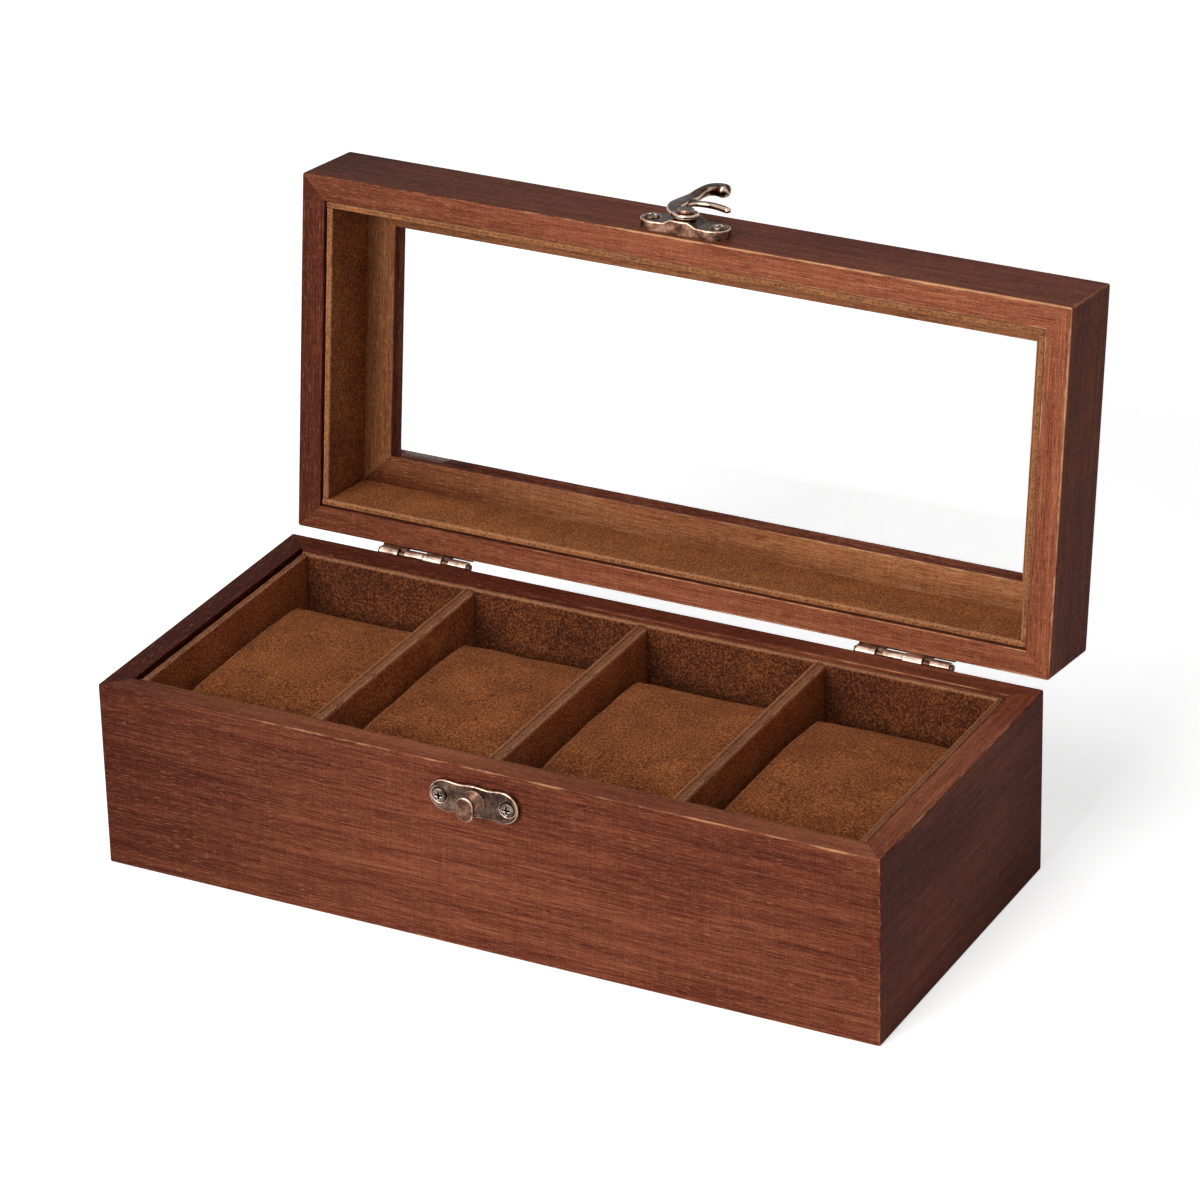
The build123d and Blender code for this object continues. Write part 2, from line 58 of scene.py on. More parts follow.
camera_data = bpy.data.cameras.new("camera")
camera_data.lens = 164.4
camera_data.sensor_width = 36
camera_data.clip_end = 20
camera = bpy.data.objects.new("camera", camera_data)
bpy.context.scene.collection.objects.link(camera)
bpy.context.scene.camera = camera
sight_line = Vector((-0.42125, 0.79273, -0.44061))
camera_roll = math.radians(-1.394)
turn = sight_line.to_track_quat("-Z", "Y").to_matrix() @ Matrix.Rotation(camera_roll, 3, "Z")
camera.matrix_world = Matrix.Translation((0.69731, -1.29067, 0.80990)) @ turn.to_4x4()
bpy.context.scene.view_settings.view_transform = "Standard"


def linear(hex_colour):
    """sRGB hex to linear RGBA. Each channel c becomes c / 12.92 up to 0.04045, and above that
    ((c + 0.055) / 1.055) to the power 2.4."""
    c = np.array([int(hex_colour[i:i + 2], 16) for i in (1, 3, 5)]) / 255
    return (*np.where(c <= 0.04045, c / 12.92, ((c + 0.055) / 1.055) ** 2.4).tolist(), 1.0)


def add(tree, kind, settings=None, inputs=None):
    """Add one node: settings are its properties, inputs are values, or nodes or sockets to link."""
    made = tree.nodes.new(kind)
    for key, value in (settings or {}).items():
        setattr(made, key, value)
    for key, value in (inputs or {}).items():
        if isinstance(value, bpy.types.Node):
            value = next(s for s in value.outputs if s.enabled)
        if isinstance(value, bpy.types.NodeSocket):
            tree.links.new(value, made.inputs[key])
        else:
            made.inputs[key].default_value = value
    return made


def new_material(name):
    """An empty material with its output node: (material, tree, output)."""
    material = bpy.data.materials.new(name)
    material.use_nodes = True
    material.node_tree.nodes.clear()
    return material, material.node_tree, material.node_tree.nodes.new("ShaderNodeOutputMaterial")


def seen_share(tree, in_mirrors):
    """1 for what is seen directly or through the glass, in_mirrors for what a glossy surface
    reflects, and 0 for the light that falls on the box."""
    path = add(tree, "ShaderNodeLightPath")
    direct = add(tree, "ShaderNodeMath", {"operation": "MAXIMUM"},
                 {0: path.outputs["Is Camera Ray"], 1: path.outputs["Is Transmission Ray"]})
    mirrored = add(tree, "ShaderNodeMath", {"operation": "MULTIPLY"},
                   {0: path.outputs["Is Glossy Ray"], 1: in_mirrors})
    return add(tree, "ShaderNodeMath", {"operation": "MAXIMUM"}, {0: direct, 1: mirrored})


# Matt white paper, which keeps the soft shadow of the box and is lifted to white where it is seen.
paper, tree, output = new_material("studio_paper")
diffuse = add(tree, "ShaderNodeBsdfDiffuse", {}, {"Color": linear("#f4f4f4")})
lift = add(tree, "ShaderNodeMath", {"operation": "MULTIPLY"}, {0: seen_share(tree, 0.2), 1: 0.66})
glow = add(tree, "ShaderNodeEmission", {}, {"Color": linear("#ffffff"), "Strength": lift})
lit = add(tree, "ShaderNodeAddShader", {}, {0: diffuse, 1: glow})
tree.links.new(lit.outputs[0], output.inputs["Surface"])
floor_mesh = bpy.data.meshes.new("floor")
reach = 4.0
floor_mesh.from_pydata(
    [(-reach, -reach, 0), (reach, -reach, 0), (reach, reach, 0), (-reach, reach, 0)], [], [(0, 1, 2, 3)])
floor_mesh.materials.append(paper)
floor = bpy.data.objects.new("floor", floor_mesh)
bpy.context.scene.collection.objects.link(floor)
floor.location.z = -0.2 * mm

world = bpy.data.worlds.new("white_room")
bpy.context.scene.world = world
world.use_nodes = True
tree = world.node_tree
tree.nodes.clear()
level = add(tree, "ShaderNodeMapRange", {}, {
    "Value": seen_share(tree, 0.5), "To Min": 0.15, "To Max": 1.0})
sky = add(tree, "ShaderNodeBackground", {}, {"Color": linear("#ffffff"), "Strength": level})
add(tree, "ShaderNodeOutputWorld", {}, {"Surface": sky})


def soft_box(name, place, width, height, power):
    """A rectangular lamp at a place, aimed at the middle of the box."""
    lamp = bpy.data.lights.new(name, "AREA")
    lamp.shape = "RECTANGLE"
    lamp.size, lamp.size_y = width, height
    lamp.energy = power
    body = bpy.data.objects.new(name, lamp)
    bpy.context.scene.collection.objects.link(body)
    body.location = place
    body.rotation_euler = (Vector((0, 0, 0.08)) - Vector(place)).to_track_quat("-Z", "Y").to_euler()


soft_box("key_lamp", (-0.40, -2.0, 1.05), 1.3, 0.9, 42)
soft_box("top_lamp", (-0.2, -0.5, 1.9), 1.0, 0.9, 8)


# ---- base walls ------------------------------------------------------------------------------
# Four boards of close-grained hardwood, mitred at the corners, rubbed with brown stain and sealed
# with a thin satin lacquer. The arrises are sanded round, so the stain is thinner along them, and
# their paler colour also paints the highlights that the lacquered arrises catch.

corner_ease = 0.8 * mm
arris_ease = 0.6 * mm
inner_ease = 0.25 * mm
rabbet_depth = 4.0 * mm
front_low, front_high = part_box("base_front_wall")
half_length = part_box("base_right_wall")[1].x
half_width = -front_low.y
base_height = front_high.z
wall = front_high.y - front_low.y
panel_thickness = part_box("base_bottom_panel")[1].z


def rounded_loop(corners, eases, steps=6, near=(0.25, 0.6)):
    """Closed outline of straight edges with each corner replaced by an arc tangent to its two edges.
    Returns the points and how worn each is, a value that the finishes also use for painted
    highlights: 1 in the middle of an arc, half that at its ends and 0 past the extra points set
    beside it. An ease of None leaves a corner sharp, with no wear and no painted highlight."""
    corners = np.array(corners, float)
    points, wear_and_highlight = [], []
    for i, here in enumerate(corners):
        to_last, to_next = corners[i - 1] - here, corners[(i + 1) % len(corners)] - here
        room_last, room_next = np.linalg.norm(to_last) / 2, np.linalg.norm(to_next) / 2
        to_last, to_next = to_last / (2 * room_last), to_next / (2 * room_next)
        if eases[i] is None:
            points.append(here)
            wear_and_highlight.append(0.0)
            continue
        half_turn = math.acos(np.clip(to_last @ to_next, -1, 1)) / 2
        back = eases[i] / math.tan(half_turn)
        inwards = (to_last + to_next) / np.linalg.norm(to_last + to_next)
        centre = here + inwards * eases[i] / math.sin(half_turn)
        fades = [d * mm for d in near]
        for d in reversed([d for d in fades if back + d < room_last]):
            points.append(here + to_last * (back + d))
            wear_and_highlight.append(0.5 - 0.5 * d / fades[-1])
        start, end = here + to_last * back - centre, here + to_next * back - centre
        share = np.linspace(0, 1, steps + 1)[:, None]
        arc = start * (1 - share) + end * share
        arc *= eases[i] / np.linalg.norm(arc, axis=1)[:, None]
        points.extend(centre + arc)
        wear_and_highlight.extend(1 - np.abs(share[:, 0] - 0.5))
        for d in [d for d in fades if back + d < room_next]:
            points.append(here + to_next * (back + d))
            wear_and_highlight.append(0.5 - 0.5 * d / fades[-1])
    return np.array(points), np.array(wear_and_highlight)


def skin(name, rings, wear_and_highlight=None, grain=None, looped=False):
    """Closed shell through a row of rings (rings x points x 3): quads join each ring to the next.
    The last ring joins the first if it is looped, and else an end cap closes each end. The
    per-point edge values are for wear and painted highlights, and grain is the wood's own coordinates."""
    rows, count = rings.shape[:2]
    index = np.arange(rows * count).reshape(rows, count)
    a, b = (index, np.roll(index, -1, 0)) if looped else (index[:-1], index[1:])
    quads = np.stack([a, b, np.roll(b, -1, 1), np.roll(a, -1, 1)], -1).reshape(-1, 4)
    faces = quads.tolist()
    if not looped:
        faces += [index[0].tolist(), index[-1][::-1].tolist()]
    mesh = bpy.data.meshes.new(name)
    mesh.from_pydata(rings.reshape(-1, 3).tolist(), [], faces)
    mesh.polygons.foreach_set("use_smooth", [True] * len(quads) + [False] * (len(faces) - len(quads)))
    if wear_and_highlight is not None:
        wear_highlight_values = mesh.attributes.new("wear_and_highlight", "FLOAT", "POINT")
        wear_highlight_values.data.foreach_set("value", wear_and_highlight.astype(np.float32).ravel())
    if grain is not None:
        figure = mesh.attributes.new("grain", "FLOAT_VECTOR", "POINT")
        figure.data.foreach_set("vector", grain.astype(np.float32).ravel())
    mesh.update()
    piece = bpy.data.objects.new(name, mesh)
    bpy.context.scene.collection.objects.link(piece)
    return piece


def mitred_wall(name, side, half_x, half_y, outline, wear_and_highlight, ease, place=lambda p: p, seed=0):
    """One side of a mitred frame. The outline holds (depth from the outer face, height). It is
    carried along the side, and past each end round 45 degrees of the frame's rounded corner: at
    depth d that corner has radius ease - d, so every ring ends in the mitre plane. The grain's
    coordinates are (along, depth, height), with the first two moved on by the seed so that no two
    boards have the same figure."""
    along_half, out_half = (half_x, half_y) if side in ("front", "back") else (half_y, half_x)
    depth, height = outline[:, 0], outline[:, 1]
    radius = np.maximum(ease - depth, 0.02 * mm)
    fade = np.array([0, 0.25, 0.6]) * mm / along_half
    run = np.linspace(-1 + fade[-1], 1 - fade[-1], 25)
    share = np.concatenate([[-1] * 4, -1 + fade[:-1], run, (1 - fade[:-1])[::-1], [1] * 4])
    turn = np.radians(np.concatenate([[45, 34, 22, 11], [0] * (len(share) - 8), [11, 22, 34, 45]]))
    straight = along_half - depth - radius
    along = share[:, None] * straight + np.sign(share)[:, None] * np.sin(turn)[:, None] * radius
    out = (out_half - depth - radius) + np.cos(turn)[:, None] * radius
    up = np.broadcast_to(height, along.shape)
    from_end = (1 - np.abs(share)) / fade[-1]
    nearness = np.clip(1 - from_end, 0, 1) + turn / turn.max()
    corner = np.where(depth < 2 * ease, 0.5, 0.0) * nearness[:, None]
    wear_highlight_values = np.maximum(np.broadcast_to(wear_and_highlight, along.shape), corner)
    x, y = {"front": (along, -out), "back": (-along, out),
            "right": (out, along), "left": (-out, -along)}[side]
    spots = place(np.stack([x, y, up], -1))
    grain = np.stack([along + seed * 0.7, np.broadcast_to(depth, along.shape) + seed * 0.13, up], -1)
    return skin(name, spots, wear_highlight_values, grain)


base_outline, base_wear_and_highlight = rounded_loop(
    [(0, 0), (0, base_height), (wall, base_height), (wall, panel_thickness),
     (wall - rabbet_depth, panel_thickness), (wall - rabbet_depth, 0)],
    [arris_ease, arris_ease, inner_ease, None, None, None],
)


def ramp(tree, factor, stops):
    """A colour ramp node over stops of a position and a hex colour or a grey level."""
    made = add(tree, "ShaderNodeValToRGB", {}, {"Fac": factor})
    band = made.color_ramp
    while len(band.elements) < len(stops):
        band.elements.new(0.5)
    for element, (position, colour) in zip(band.elements, stops):
        element.position = position
        element.color = linear(colour) if isinstance(colour, str) else (colour, colour, colour, 1)
    return made


def wood_finish(name, tones, pale_wear_highlight_colour, pore_colour, gloss):
    """Stained hardwood, read from the board's own grain coordinates in millimetres: broad cloudy
    stain, which each board's seed also places as painted shade, growth streaks 2 to 4 mm apart
    along the board, lines 0.4 mm apart, sandy flecks half a millimetre long, faint ripples across
    the grain 0.8 mm apart, and pores and light fibres 0.3 mm wide. Painted shade darkens the wood
    towards the left end of the box, and rubbed arrises show paler in patches, fewer at that end,
    as wear and as painted highlights."""
    material, tree, output = new_material(name)
    read = add(tree, "ShaderNodeAttribute", {"attribute_name": "grain"})
    place = add(tree, "ShaderNodeVectorMath", {"operation": "SCALE"},
                {0: read.outputs["Vector"], "Scale": 1000})

    def streaks(along, across, detail, rough=0.55, warp=0.0):
        """Noise with so many features per millimetre along and across the grain."""
        squeeze = add(tree, "ShaderNodeVectorMath", {"operation": "MULTIPLY"},
                      {0: place, 1: (along, across, across)})
        return add(tree, "ShaderNodeTexNoise", {}, {
            "Vector": squeeze, "Scale": 1.0, "Detail": detail, "Roughness": rough, "Distortion": warp})

    broad = streaks(0.008, 0.022, 1)
    growth = streaks(0.010, 0.30, 3, 0.55, 0.3)
    lines = streaks(0.055, 2.3, 3, 0.65, 0.1)
    sand = streaks(1.6, 4.5, 2, 0.7)
    ticks = streaks(1.3, 0.05, 2, 0.6)
    mix = add(tree, "ShaderNodeMath", {"operation": "MULTIPLY"}, {0: growth, 1: 0.16})
    for layer, share in ((lines, 0.36), (sand, 0.40), (ticks, 0.08)):
        mix = add(tree, "ShaderNodeMath", {"operation": "MULTIPLY_ADD"}, {0: layer, 1: share, 2: mix})
    colour = ramp(tree, mix, [(0.38, tones[0]), (0.5, tones[1]), (0.62, tones[2])])
    # Broad stain clouds: with the boards' chosen seeds they also paint shade where less light falls.
    cloud = ramp(tree, broad, [(0.38, "#cdb8bc"), (0.56, "#ffffff")])
    colour = add(tree, "ShaderNodeMix", {"data_type": "RGBA", "blend_type": "MULTIPLY"},
                 {"Factor": 1.0, 6: colour, 7: cloud})
    here = add(tree, "ShaderNodeTexCoord")
    spot = add(tree, "ShaderNodeSeparateXYZ", {}, {0: here.outputs["Object"]})
    # Painted shade: the wood is darkened towards the left end of the box, where the light falls off, and
    # fewer rubbed arrises show there.
    painted_left_shade = add(tree, "ShaderNodeMapRange", {}, {
        "Value": spot.outputs["X"], "From Min": -0.13, "From Max": -0.02, "To Min": 0.6, "To Max": 0.0})
    colour = add(tree, "ShaderNodeMix", {"data_type": "RGBA", "blend_type": "MULTIPLY"},
                 {"Factor": painted_left_shade, 6: colour.outputs[2], 7: linear("#7a5a5a")})
    pores = ramp(tree, streaks(0.16, 3.6, 1), [(0.60, 0.0), (0.68, 1.0)])
    pore_share = add(tree, "ShaderNodeMath", {"operation": "MULTIPLY"}, {0: pores, 1: 0.6})
    colour = add(tree, "ShaderNodeMix", {"data_type": "RGBA"},
                 {"Factor": pore_share, 6: colour.outputs[2], 7: linear(pore_colour)})
    fibres = ramp(tree, streaks(0.30, 4.4, 1), [(0.62, 0.0), (0.72, 1.0)])
    fibre_share = add(tree, "ShaderNodeMath", {"operation": "MULTIPLY"}, {0: fibres, 1: 0.40})
    colour = add(tree, "ShaderNodeMix", {"data_type": "RGBA"},
                 {"Factor": fibre_share, 6: colour.outputs[2], 7: linear(pale_wear_highlight_colour)})
    edge = add(tree, "ShaderNodeAttribute", {"attribute_name": "wear_and_highlight"})
    broken = streaks(0.09, 0.4, 3, 0.7)
    # Rubbed arrises: paler patches that are partly wear and partly painted highlights on the lacquered
    # edges.
    rubbed_and_highlight = add(tree, "ShaderNodeMath", {"operation": "MULTIPLY_ADD"},
                 {0: edge.outputs["Fac"], 1: 0.6, 2: -0.95})
    rubbed_and_highlight = add(tree, "ShaderNodeMath", {"operation": "MULTIPLY_ADD"}, {0: broken, 1: 1.2, 2: rubbed_and_highlight})
    rubbed_and_highlight = add(tree, "ShaderNodeMath", {"operation": "MULTIPLY_ADD"}, {0: broad, 1: 0.9, 2: rubbed_and_highlight})
    rubbed_and_highlight = add(tree, "ShaderNodeMath", {"operation": "MULTIPLY_ADD"}, {0: painted_left_shade, 1: -0.9, 2: rubbed_and_highlight})
    rubbed_and_highlight = ramp(tree, rubbed_and_highlight, [(0.55, 0.0), (0.85, 1.0)])
    colour = add(tree, "ShaderNodeMix", {"data_type": "RGBA"},
                 {"Factor": rubbed_and_highlight, 6: colour.outputs[2], 7: linear(pale_wear_highlight_colour)})
    relief = add(tree, "ShaderNodeMath", {"operation": "SUBTRACT"}, {0: lines, 1: pores})
    bump = add(tree, "ShaderNodeBump", {}, {"Strength": 0.25, "Distance": 0.05 * mm, "Height": relief})
    rough = add(tree, "ShaderNodeMapRange", {}, {
        "Value": lines, "To Min": gloss - 0.06, "To Max": gloss + 0.1})
    surface = add(tree, "ShaderNodeBsdfPrincipled", {}, {
        "Base Color": colour.outputs[2], "Roughness": rough, "IOR": 1.45, "Specular IOR Level": 0.05,
        "Normal": bump})
    tree.links.new(surface.outputs[0], output.inputs["Surface"])
    return material


# Red-brown stain under satin lacquer: dark lines and pores in a warm brown, with little gloss.
stained_wood = wood_finish(
    "stained_hardwood", ("#401b13", "#713929", "#9f5e40"), "#bd8158", "#33130d", 0.48)

# The rims were sanded back after staining, so they are paler, and sandy where the grain is open.
# The rims on which more light falls get this paler wood as painted light.
rubbed_rim_painted_light = wood_finish(
    "rubbed_hardwood_rim_painted_light", ("#5c291a", "#8d4d35", "#b97350"), "#d39c74", "#43200f", 0.46)


def read_vectors(items, key):
    """A vector of every vertex or face of a mesh, as rows of x, y, z."""
    flat = np.zeros(len(items) * 3)
    items.foreach_get(key, flat)
    return flat.reshape(-1, 3)


def finish_faces(piece, first, second, chosen):
    """Give a piece the first finish, and the second on the faces that are chosen by a test on
    their centres and normals (arrays of x, y, z)."""
    mesh = piece.data
    mesh.materials.append(first)
    mesh.materials.append(second)
    picked = chosen(read_vectors(mesh.polygons, "center"), read_vectors(mesh.polygons, "normal"))
    mesh.polygons.foreach_set("material_index", picked.astype(int))


# Each board is cut from another part of the plank, which is where its grain starts. The starts
# are chosen so that the broad stain clouds also lay painted shade where less light falls on a
# board, and leave it pale where more falls.
grain_starts = {"front": 19.4, "back": 2.0, "left": 3.0, "right": 4.0}
for side, start in grain_starts.items():
    board = mitred_wall(f"base_{side}_board", side, half_length, half_width, base_outline, base_wear_and_highlight,
                        corner_ease, seed=start)
    # Painted light: the front and right rims, on which more light falls, get the paler rim wood; the shaded
    # left and back rims keep the stain.
    rim_wood = rubbed_rim_painted_light if side in ("front", "right") else stained_wood
    finish_faces(board, stained_wood, rim_wood, lambda spots, facing: facing[:, 2] > 0.8)
    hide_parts(f"base_{side}_wall")
    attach(board, "base")


# ---- base bottom panel -----------------------------------------------------------------------
# A plain board let into a rabbet under the four walls and stained with them. It takes no wear
# and no mitre, so the solid stays as it is and only its finish is new, with the grain along it.

def flat_wood_finish(name, source):
    """The same stained wood for a solid without grain coordinates: it reads Object coordinates
    instead, so the grain runs along X."""
    made = source.copy()
    made.name = name
    tree = made.node_tree
    read = next(n for n in tree.nodes if n.type == "ATTRIBUTE" and n.attribute_name == "grain")
    here = add(tree, "ShaderNodeTexCoord")
    for link in list(read.outputs["Vector"].links):
        tree.links.new(here.outputs["Object"], link.to_socket)
    return made


def dress(name, material):
    """Give a solid that is shown as it is one material all over."""
    mesh = frame["nodes"][name].data
    mesh.materials.clear()
    mesh.materials.append(material)
    mesh.polygons.foreach_set("material_index", [0] * len(mesh.polygons))


dress("base_bottom_panel", flat_wood_finish("stained_panel_wood", stained_wood))


# ---- suede lining of the base ----------------------------------------------------------------
# Thin boards wrapped in brown suede and dropped in as a tray: a floor and four sides, a touch below
# the rim. The suede has a short brushed nap, and a painted highlight lightens it where it bends over an
# edge.

suede_boards = ("lining_floor", "lining_front", "lining_back", "lining_left", "lining_right")


def suede_finish(name, shade, base, brushed, pale_wear_highlight_colour, sheen_colour):
    """Split leather buffed to a short nap: tufts about 0.6 mm wide, faint brushed patches 4 to
    15 mm wide where the nap lies another way, a painted highlight in a pale colour on rounded
    edges, and a sheen that lightens it at grazing angles."""
    material, tree, output = new_material(name)
    here = add(tree, "ShaderNodeTexCoord")
    tufts = add(tree, "ShaderNodeTexNoise", {}, {
        "Vector": here.outputs["Object"], "Scale": 1500.0, "Detail": 3.0, "Roughness": 0.75})
    patches = add(tree, "ShaderNodeTexNoise", {}, {
        "Vector": here.outputs["Object"], "Scale": 75.0, "Detail": 2.0, "Roughness": 0.5, "Distortion": 0.3})
    mixed = add(tree, "ShaderNodeMath", {"operation": "MULTIPLY"}, {0: tufts, 1: 0.85})
    mixed = add(tree, "ShaderNodeMath", {"operation": "MULTIPLY_ADD"}, {0: patches, 1: 0.15, 2: mixed})
    edge = add(tree, "ShaderNodeAttribute", {"attribute_name": "wear_and_highlight"})
    colour = ramp(tree, mixed, [(0.40, shade), (0.5, base), (0.62, brushed)])
    # Painted highlight: rounded edges are lifted towards the pale colour.
    painted_edge_highlight = add(tree, "ShaderNodeMath", {"operation": "MULTIPLY"}, {0: edge.outputs["Fac"], 1: mixed})
    painted_edge_highlight = ramp(tree, painted_edge_highlight, [(0.12, 0.0), (0.62, 0.75)])
    colour = add(tree, "ShaderNodeMix", {"data_type": "RGBA"},
                 {"Factor": painted_edge_highlight, 6: colour, 7: linear(pale_wear_highlight_colour)})
    bump = add(tree, "ShaderNodeBump", {}, {"Strength": 0.8, "Distance": 0.25 * mm, "Height": tufts})
    surface = add(tree, "ShaderNodeBsdfPrincipled", {}, {
        "Base Color": colour.outputs[2], "Roughness": 0.92, "Specular IOR Level": 0.2, "Normal": bump,
        "Sheen Weight": 0.25, "Sheen Roughness": 0.45, "Sheen Tint": linear(sheen_colour)})
    tree.links.new(surface.outputs[0], output.inputs["Surface"])
    return material


# Mid-brown suede that soaks up light, with paler tufts. Faces that look right get a much lighter
# copy of it, as painted light on faces that the lamps leave dim.
brown_suede = suede_finish("brown_suede", "#321409", "#572a14", "#8e5029", "#b9805c", "#c88450")
right_faces_painted_light = suede_finish(
    "brown_suede_painted_light_right", "#73351a", "#a8592d", "#e0955a", "#e8b088", "#c88450")


def ripple(points, width, height, seed):
    """Smooth unevenness: nine sine waves of random direction and phase, each about width long,
    added up and scaled so that the sum seldom passes height."""
    dice = np.random.default_rng(seed)
    directions = dice.normal(size=(9, 3))
    directions /= np.linalg.norm(directions, axis=1)[:, None]
    lengths = width * dice.uniform(0.6, 1.6, 9)
    turns = directions * (2 * math.pi / lengths)[:, None]
    waves = np.sin(points @ turns.T + dice.uniform(0, 6.3, 9))
    return waves.sum(-1) * height / 4.5


def suede_board(name, low, high, eases, seed, place=lambda p: p):
    """A wrapped board between two corners: a rounded outline across it, carried along its longer
    level side. eases are the radii of its lower-left, upper-left, upper-right and lower-right
    edges, and the surface wanders by a tenth of a millimetre, as wrapped leather does."""
    low, high = np.array(low), np.array(high)
    size = high - low
    lengthwise = 0 if size[0] >= size[1] else 1
    outline, wear_and_highlight = rounded_loop(
        [(0, 0), (0, size[2]), (size[1 - lengthwise], size[2]), (size[1 - lengthwise], 0)], eases)
    stations = np.linspace(0, size[lengthwise], int(size[lengthwise] / (1.4 * mm)))
    rings = np.zeros((len(stations), len(outline), 3))
    rings[..., lengthwise] = stations[:, None] + low[lengthwise]
    rings[..., 1 - lengthwise] = outline[:, 0] + low[1 - lengthwise]
    rings[..., 2] = outline[:, 1] + low[2]
    rings[..., 2] += ripple(rings, 9 * mm, 0.10 * mm, seed) * wear_and_highlight
    rings[..., 1 - lengthwise] += ripple(rings, 6 * mm, 0.05 * mm, seed + 50) * wear_and_highlight
    if lengthwise:
        rings = rings[:, ::-1]
        wear_and_highlight = wear_and_highlight[::-1]
    return skin(name, place(rings), np.broadcast_to(wear_and_highlight, rings.shape[:2]))


lining_ease = 0.8 * mm
floor_ease = 0.3 * mm
hidden_ease = 0.1 * mm
for number, node in enumerate(suede_boards):
    low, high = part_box(node)
    edge = floor_ease if node == "lining_floor" else lining_ease
    board = suede_board(f"{node}_suede", low, high, [hidden_ease, edge, edge, hidden_ease], 10 + number)
    # Faces that look right take the lighter suede as painted light.
    finish_faces(board, brown_suede, right_faces_painted_light, lambda spots, facing: facing[:, 0] > 0.8)
    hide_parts(node)
    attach(board, "base")


# ---- dividers --------------------------------------------------------------------------------
# Three suede-covered boards that part the tray into four slots. Each is wrapped over its top in
# one piece, so the top is almost fully round, and it comes up level with the lining.

divider_ease = 1.7 * mm
for number, where in enumerate(("left", "middle", "right")):
    low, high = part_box(f"divider_{where}")
    board = suede_board(f"divider_{where}_suede", low, high,
                        [hidden_ease, divider_ease, divider_ease, hidden_ease], 20 + number)
    # Faces that look right take the lighter suede as painted light.
    finish_faces(board, brown_suede, right_faces_painted_light, lambda spots, facing: facing[:, 0] > 0.8)
    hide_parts(f"divider_{where}")
    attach(board, "base")


# ---- watch pillows ---------------------------------------------------------------------------
# Foam blocks sewn into suede, one loose in each slot: a wrap goes round the block and an oval end
# panel closes each side. The cover is blown up slightly in a cloth simulation, so its faces crown
# and its corners pull in, and it stays inside the slot.

# The same suede, painted a little lighter, as painted light for the light that falls on the pillows' tops.
pillow_suede = suede_finish("pillow_suede", "#4a1f0d", "#7b401f", "#b46c3a", "#b9805c", "#c88450")
pillow_shrink = 1.2 * mm
pillow_cap = 1.7 * mm
seam_inset = 4.2 * mm
seam_radius = 0.55 * mm
stitches_round = 70


def apply_in_turn(piece, steps):
    """Put each modifier (kind, settings) on the piece and apply it before the next."""
    bpy.context.view_layer.objects.active = piece
    for kind, settings in steps:
        finish = piece.modifiers.new(kind.lower(), kind)
        for key, value in settings.items():
            setattr(finish, key, value)
        with bpy.context.temp_override(object=piece):
            bpy.ops.object.modifier_apply(modifier=finish.name)


def sewn_cover(name, node, pressure, seed):
    """Remesh the plain block, a little shrunk, blow it up as cloth for 20 frames, and cap how far
    each point moves. Shallow ripples 22 mm long in its height keep its faces from being even."""
    source = frame["nodes"][node].data.copy()
    piece = bpy.data.objects.new(name, source)
    bpy.context.scene.collection.objects.link(piece)
    spots = read_vectors(source.vertices, "co")
    low, high = spots.min(0), spots.max(0)
    middle = (low + high) / 2
    spots = middle + (spots - middle) * (1 - 2 * pillow_shrink / (high - low))
    source.vertices.foreach_set("co", spots.ravel())
    apply_in_turn(piece, [
        ("WELD", {"merge_threshold": 0.01 * mm}),
        ("REMESH", {"mode": "VOXEL", "voxel_size": 3.2 * mm, "use_smooth_shade": True})])
    start = read_vectors(piece.data.vertices, "co")
    cloth = piece.modifiers.new("cloth", "CLOTH")
    cloth.settings.use_pressure = True
    cloth.settings.uniform_pressure_force = pressure
    cloth.settings.effector_weights.gravity = 0
    cloth.settings.quality = 6
    for moment in range(1, 21):
        bpy.context.scene.frame_set(moment)
    blown = piece.evaluated_get(bpy.context.evaluated_depsgraph_get()).data
    travel = read_vectors(blown.vertices, "co") - start
    piece.modifiers.remove(cloth)
    length = np.linalg.norm(travel, axis=1)[:, None]
    start = start + travel * np.minimum(1, pillow_cap / np.maximum(length, 1e-9))
    bpy.context.scene.frame_set(1)
    start[:, 2] += ripple(start, 22 * mm, 0.35 * mm, seed)
    start = np.clip(start, low - 0.5 * mm, high + np.array([0.5, 0.5, 1.0]) * mm)
    start[:, 2] = np.maximum(start[:, 2], low[2])
    piece.data.vertices.foreach_set("co", start.ravel())
    smooth = piece.modifiers.new("subdivision", "SUBSURF")
    smooth.levels = smooth.render_levels = 1
    piece.data.materials.clear()
    piece.data.materials.append(pillow_suede)
    piece.data.polygons.foreach_set("use_smooth", [True] * len(piece.data.polygons))
    return piece


